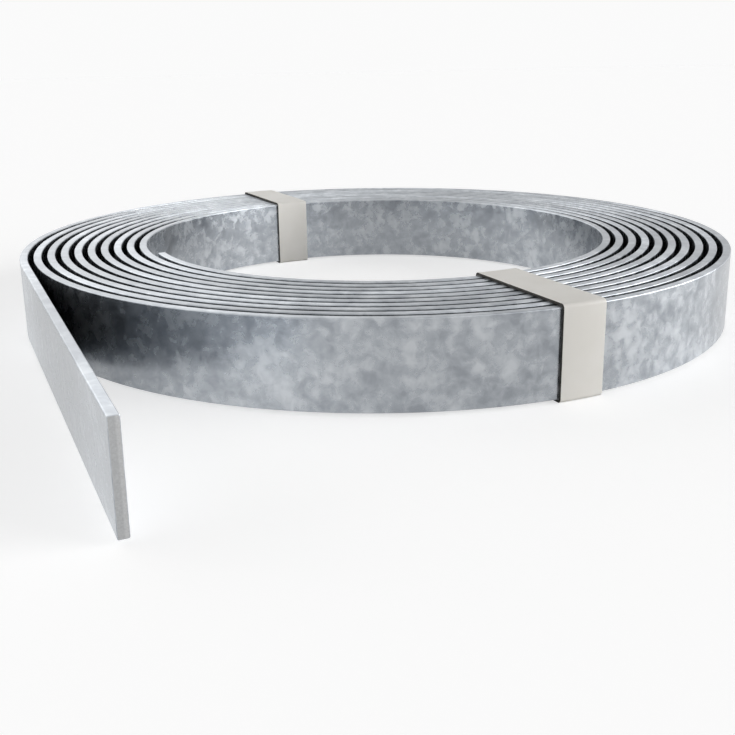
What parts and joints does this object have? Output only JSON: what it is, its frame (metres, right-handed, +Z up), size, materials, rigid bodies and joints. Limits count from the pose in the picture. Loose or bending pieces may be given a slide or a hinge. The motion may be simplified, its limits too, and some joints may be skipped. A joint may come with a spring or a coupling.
{
  "type": "galvanized steel strip coil",
  "caption": "Flat-lying coil of zinc-coated flat steel strip, wound on edge with open gaps between its turns, a straight free tail and two narrow straps.",
  "frame": {"origin": "on the coil's axis, at the floor that the two straps lie on", "axes": "+Z up along the coil's axis, the straps on -Y and +Y, the free tail leaving the -X side and running out along -Y"},
  "size_m": [0.2958, 0.326, 0.0322],
  "materials": {
    "galvanized_steel": "hot-dip zinc coating, dull cool grey with cloudy mottling",
    "strap_plastic": "smooth pale beige strapping band"
  },
  "bodies": {
    "root": {"strip_coil": "galvanized_steel", "strap_front": "strap_plastic", "strap_back": "strap_plastic"}
  },
  "joints": []
}
